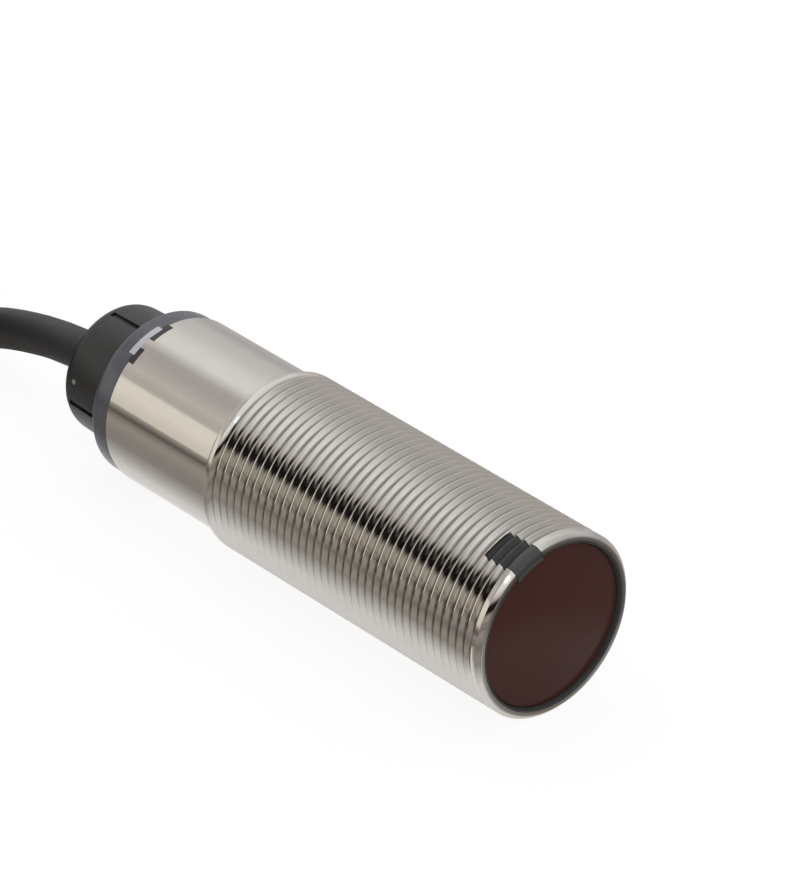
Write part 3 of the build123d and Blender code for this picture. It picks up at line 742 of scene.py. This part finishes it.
def makeWindow():
    # its front strip is clear over the lamps, the rest smoked like the ring
    rear, half, turn = body["sleeveRear"], window["width"] / 2, math.radians(window["angle"])
    profile = [half - window["width"] * i / window["steps"] for i in range(window["steps"] + 1)]
    loop = [(y, math.sqrt(ring["outer"] ** 2 - y * y)) for y in profile]
    loop += [(-half, window["foot"]), (half, window["foot"])]
    stations = (rear + body["slip"], rear + window["clear"], rear + window["length"])
    bm = bmesh.new()
    sections = [[bm.verts.new(onTurned(station, y, z, turn)) for y, z in loop] for station in stations]
    for first, second in zip(sections, sections[1:]):
        for i in range(len(loop)):
            j = (i + 1) % len(loop)
            bm.faces.new((first[i], first[j], second[j], second[i]))
    bm.faces.new(sections[0])
    bm.faces.new(sections[-1][::-1])
    piece = addPiece("indicatorWindow", bm, "clearPolycarbonate", 35)
    piece.data.materials.append(materials["smokePolycarbonate"])
    for face in piece.data.polygons:
        if body["halfLength"] - face.center.x / mm > stations[1]:
            face.material_index = 1
    standFor(piece, "clearPolycarbonate", "indicator_window")


cap = {
    "radius": 6.65, "rear": 6.45, "edge": 1.2, "spigot": 6.2, "spigotLength": 2.9, "cavity": 5.2,
    "cavityEnd": 56.21, "bush": 3.4, "exit": 2.15, "exitLength": 2.0,
    "slots": 4, "firstSlot": 9.0, "slotWidth": 0.55, "slotDepth": 0.4, "slotEnd": 60.01,
    "gateStation": 59.3, "gateAngle": 78.0, "gateRadius": 0.26, "gateRise": 0.05,
}


def makeCap():
    front, rear = body["ringRear"], body["capRear"]
    start, mouth = front - cap["spigotLength"], rear - cap["exitLength"]
    outline = [(start, cap["cavity"]), (start, cap["spigot"], 0.2), (front, cap["spigot"]),
               (front, cap["radius"], 0.06), (rear, cap["rear"], cap["edge"]), (rear, cap["exit"], 0.2),
               (mouth, cap["exit"]), (mouth, cap["bush"]), (cap["cavityEnd"], cap["bush"]),
               (cap["cavityEnd"], cap["cavity"])]
    bm = bmesh.new()
    addRings(bm, roundOutline(outline, 8), segments=144)
    piece = addPiece("rearCap", bm, "blackPbt", 35)
    cuts = bmesh.new()
    for slot in range(cap["slots"]):
        addBlock(cuts, front - body["overlap"], cap["slotEnd"], cap["slotWidth"],
                 cap["radius"] - cap["slotDepth"], cap["radius"] + body["spare"],
                 cap["firstSlot"] + slot * 360 / cap["slots"])
    shapeWith(piece, cuts, "DIFFERENCE", 35)
    # the gate, a low button sunk in the side, painted pale as a highlight
    share = (cap["gateStation"] - front) / (rear - front)
    radius = cap["radius"] + (cap["rear"] - cap["radius"]) * share
    middle = onBody(cap["gateStation"], radius, cap["gateAngle"])
    flat = (Matrix.Diagonal((cap["gateRadius"], cap["gateRadius"], cap["gateRise"])) * mm).to_4x4()
    stand = Matrix.Translation(middle) @ Matrix.Rotation(math.radians(cap["gateAngle"]), 4, "X") @ flat
    bm = bmesh.new()
    bm.from_mesh(piece.data)
    button = bmesh.ops.create_icosphere(bm, subdivisions=3, radius=1, matrix=stand)
    for face in {face for vert in button["verts"] for face in vert.link_faces}:
        face.material_index, face.smooth = 1, True
    bm.to_mesh(piece.data)
    bm.free()
    piece.data.materials.append(materials["gateHighlight"])
    standFor(piece, "blackPbt", "rear_cap")


makeRing()
makeWindow()
makeCap()
print("ring and cap made")


kept = {
    "front_seal": "nitrileRubber", "rear_seal": "nitrileRubber", "cable_bush": "nitrileRubber",
    "light_baffle": "blackPbt", "board_carrier": "blackPbt", "detector_board": "solderMask",
    "main_board": "solderMask", "photodiode": "mouldedEpoxy", "amplifier_chip": "mouldedEpoxy",
    "logic_chip": "mouldedEpoxy", "voltage_regulator": "mouldedEpoxy", "output_transistor": "mouldedEpoxy",
    "surge_diode": "mouldedEpoxy", "polarity_diode": "mouldedEpoxy", "filter_capacitor": "mouldedEpoxy",
    "shield_cover": "tinnedSteel", "crimp_ring": "tinnedSteel", "operation_lamp": "lampEpoxy",
    "stability_lamp": "lampEpoxy",
}
for node, finishName in kept.items():
    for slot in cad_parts[node].material_slots:
        slot.material = materials[finishName]


studio = {"floorHalf": 3.0, "floorDrop": 0.02, "paint": "#f2f2f1", "glowShare": 0.88, "whiteGlow": 1.04}
# the tones of the studio that the polished metal mirrors
tones = {
    "white": "#ffffff", "milk": "#f7f4f2", "cream": "#fcf6eb", "linen": "#ece6db", "haze": "#e2e0de",
    "coolGrey": "#d9d5d4", "mist": "#d7d1ca", "stone": "#ccc6c0", "ash": "#bfbbb8", "sand": "#aba296",
    "buff": "#9e9589", "shade": "#8e8882", "clay": "#7f776c", "earth": "#6d665c", "dim": "#5f5b56",
    "gap": "#38342f", "soot": "#181614",
}
# the floor's tones by the distance in m from the middle line of the sensor
floorTones = {
    # pale close by, grey where the sensor shades it, a dark edge and a warmer grey far off
    "beside": [(0.0, "milk"), (0.007, "milk"), (0.014, "shade"), (0.022, "shade"), (0.03, "buff"),
               (0.04, "buff"), (0.09, "gap"), (0.16, "earth"), (0.3, "buff")],
    # beside the thread it stays pale for longer
    "besideThread": [(0.0, "mist"), (0.01, "white"), (0.014, "haze"), (0.018, "shade"), (0.023, "buff"),
                     (0.037, "earth"), (0.05, "shade"), (0.09, "buff"), (0.16, "clay"), (0.3, "earth"),
                     (1.0, "sand")],
    "farSide": "#bab6b4",
}


def makeFloor():
    bm = bmesh.new()
    half = studio["floorHalf"]
    bm.faces.new([bm.verts.new((x * half, y * half, -studio["floorDrop"] * mm))
                  for x, y in ((-1, -1), (1, -1), (1, 1), (-1, 1))])
    mesh = bpy.data.meshes.new("floor")
    bm.to_mesh(mesh)
    bm.free()
    floor = bpy.data.objects.new("floor", mesh)
    scene.collection.objects.link(floor)
    material = bpy.data.materials.new("paleFloor")
    material.use_nodes = True
    tree = material.node_tree
    tree.nodes.clear()
    path = addNode(tree, "ShaderNodeLightPath")
    mirrored = addNode(tree, "ShaderNodeMath", {"operation": "MAXIMUM"}, {
        0: path.outputs["Is Glossy Ray"], 1: path.outputs["Is Transmission Ray"]})
    seen = addNode(tree, "ShaderNodeMath", {"operation": "MAXIMUM"}, {
        0: path.outputs["Is Camera Ray"], 1: mirrored.outputs[0]})
    # the distance from the middle line, which ends with the sensor
    place = addNode(tree, "ShaderNodeNewGeometry").outputs["Position"]
    end = (body["halfLength"] * mm, 0, 0)
    flat = addNode(tree, "ShaderNodeVectorMath", {"operation": "MULTIPLY", 1: (1, 1, 0)}, {0: place})
    nearest = addNode(tree, "ShaderNodeVectorMath", {"operation": "MINIMUM", 1: end}, {0: flat.outputs[0]})
    inside = addNode(tree, "ShaderNodeVectorMath", {"operation": "MAXIMUM", 1: (-end[0], 0, 0)}, {
        0: nearest.outputs[0]})
    away = addNode(tree, "ShaderNodeVectorMath", {"operation": "DISTANCE"}, {
        0: flat.outputs[0], 1: inside.outputs[0]})
    beside = addNode(tree, "ShaderNodeValToRGB", None, {"Fac": away.outputs["Value"]})
    fillRamp(beside, floorTones["beside"])
    besideThread = addNode(tree, "ShaderNodeValToRGB", None, {"Fac": away.outputs["Value"]})
    fillRamp(besideThread, floorTones["besideThread"])
    axes = addNode(tree, "ShaderNodeSeparateXYZ", None, {"Vector": place})
    ahead = addNode(tree, "ShaderNodeMapRange", {"From Min": -0.013, "From Max": -0.009}, {
        "Value": axes.outputs["X"]})
    nearSide = addNode(tree, "ShaderNodeMix", {"data_type": "RGBA"}, {
        factor: ahead.outputs["Result"], colourA: beside.outputs["Color"],
        colourB: besideThread.outputs["Color"]})
    beyond = addNode(tree, "ShaderNodeMapRange", {"From Min": 0.012, "From Max": 0.03}, {
        "Value": axes.outputs["Y"]})
    farSide, white = linearColour(floorTones["farSide"]), (*[studio["whiteGlow"]] * 3, 1)
    tone = addNode(tree, "ShaderNodeMix", {"data_type": "RGBA", colourB: farSide}, {
        factor: beyond.outputs["Result"], colourA: nearSide.outputs[2]})
    # plain white to the camera, over paint that keeps the sensor's shadow
    colour = addNode(tree, "ShaderNodeMix", {"data_type": "RGBA", colourA: white}, {
        factor: mirrored.outputs[0], colourB: tone.outputs[2]})
    glow = addNode(tree, "ShaderNodeEmission", {"Strength": 1.0}, {"Color": colour.outputs[2]})
    paint = addNode(tree, "ShaderNodeBsdfDiffuse", {"Color": linearColour(studio["paint"])})
    share = addNode(tree, "ShaderNodeMath", {"operation": "MULTIPLY", 1: studio["glowShare"]}, {
        0: seen.outputs[0]})
    mix = addNode(tree, "ShaderNodeMixShader", None, {
        0: share.outputs[0], 1: paint.outputs[0], 2: glow.outputs[0]})
    addNode(tree, "ShaderNodeOutputMaterial", None, {"Surface": mix.outputs[0]})
    mesh.materials.append(material)


# the room's tones by the height of the direction, from level (0) to straight up (1)
roomTones = {
    # behind the sensor on the near side: a cream wall, with a greyer band from mid height up
    "near": [(0.0, "linen"), (0.08, "linen"), (0.25, "cream"), (0.4, "cream"), (0.44, "stone"),
             (0.5, "stone"), (0.58, "mist"), (0.72, "ash"), (0.77, "stone"), (1.0, "milk")],
    # beside it on the near side, seen in the flanks of the thread: dark gaps between pale panels
    "beside": [(0.0, "sand"), (0.12, "clay"), (0.18, "sand"), (0.27, "cream"), (0.42, "cream"),
               (0.52, "soot"), (0.62, "soot"), (0.66, "earth"), (0.7, "dim"), (0.74, "soot"), (0.79, "dim"),
               (0.85, "white")],
    # behind the sensor on the far side: cool pale grey
    "far": [(0.0, "ash"), (0.25, "coolGrey"), (0.5, "haze"), (0.65, "milk"), (1.0, "white")],
    # in front of the sensor: mid grey low down, a dark band above it, then pale
    "ahead": [(0.0, "clay"), (0.05, "sand"), (0.13, "sand"), (0.19, "soot"), (0.3, "soot"), (0.37, "stone"),
              (0.5, "white")],
    # in front of it on the far side: grey, with no dark band
    "across": [(0.0, "buff"), (0.3, "ash"), (0.42, "ash"), (1.0, "white")],
}
# where one wall turns into the next: the axis and the span of the direction, and the two walls
roomTurns = {
    "nearSide": ("X", -0.54, -0.42, "near", "beside"),
    "behind": ("Y", -0.07, 0.14, "nearSide", "far"),
    "before": ("Y", 0.15, 0.5, "ahead", "across"),
    "around": ("X", 0.25, 0.5, "behind", "before"),
}


def makeWorld():
    world = bpy.data.worlds.new("studio")
    scene.world = world
    world.use_nodes = True
    tree = world.node_tree
    tree.nodes.clear()
    direction = addNode(tree, "ShaderNodeTexCoord").outputs["Generated"]
    split = addNode(tree, "ShaderNodeSeparateXYZ", None, {"Vector": direction})
    colours = {}
    for name, stops in roomTones.items():
        ramp = addNode(tree, "ShaderNodeValToRGB", None, {"Fac": split.outputs["Z"]})
        fillRamp(ramp, stops)
        colours[name] = ramp.outputs["Color"]
    for name, (axis, low, high, first, second) in roomTurns.items():
        along = addNode(tree, "ShaderNodeMapRange", {"From Min": low, "From Max": high}, {
            "Value": split.outputs[axis]})
        colours[name] = addNode(tree, "ShaderNodeMix", {"data_type": "RGBA"}, {
            factor: along.outputs["Result"], colourA: colours[first], colourB: colours[second]}).outputs[2]
    # plain white to the camera
    path = addNode(tree, "ShaderNodeLightPath")
    seen = addNode(tree, "ShaderNodeMix", {"data_type": "RGBA", colourB: (1, 1, 1, 1)}, {
        factor: path.outputs["Is Camera Ray"], colourA: colours["around"]})
    glow = addNode(tree, "ShaderNodeBackground", {"Strength": 1.0}, {"Color": seen.outputs[2]})
    addNode(tree, "ShaderNodeOutputWorld", None, {"Surface": glow.outputs[0]})


lamps = {
    # name: direction from the sensor, distance in m, size in m, watts
    "key": ((0.752, -0.292, 0.590), 0.7, 0.06, 0.10),
    "soft": ((-0.30, 0.0, 0.95), 0.8, 0.5, 0.6),
}


def makeLamps():
    for name, (direction, distance, size, watts) in lamps.items():
        data = bpy.data.lights.new(name, "AREA")
        data.shape, data.size, data.energy = "DISK", size, watts
        lamp = bpy.data.objects.new(name, data)
        away = Vector(direction).normalized()
        lamp.location = Vector((0, 0, body["axisHeight"] * mm)) + away * distance
        lamp.rotation_euler = away.to_track_quat("Z", "Y").to_euler()
        scene.collection.objects.link(lamp)


makeFloor()
makeWorld()
makeLamps()
scene.view_settings.view_transform = "Standard"
print("studio lit")
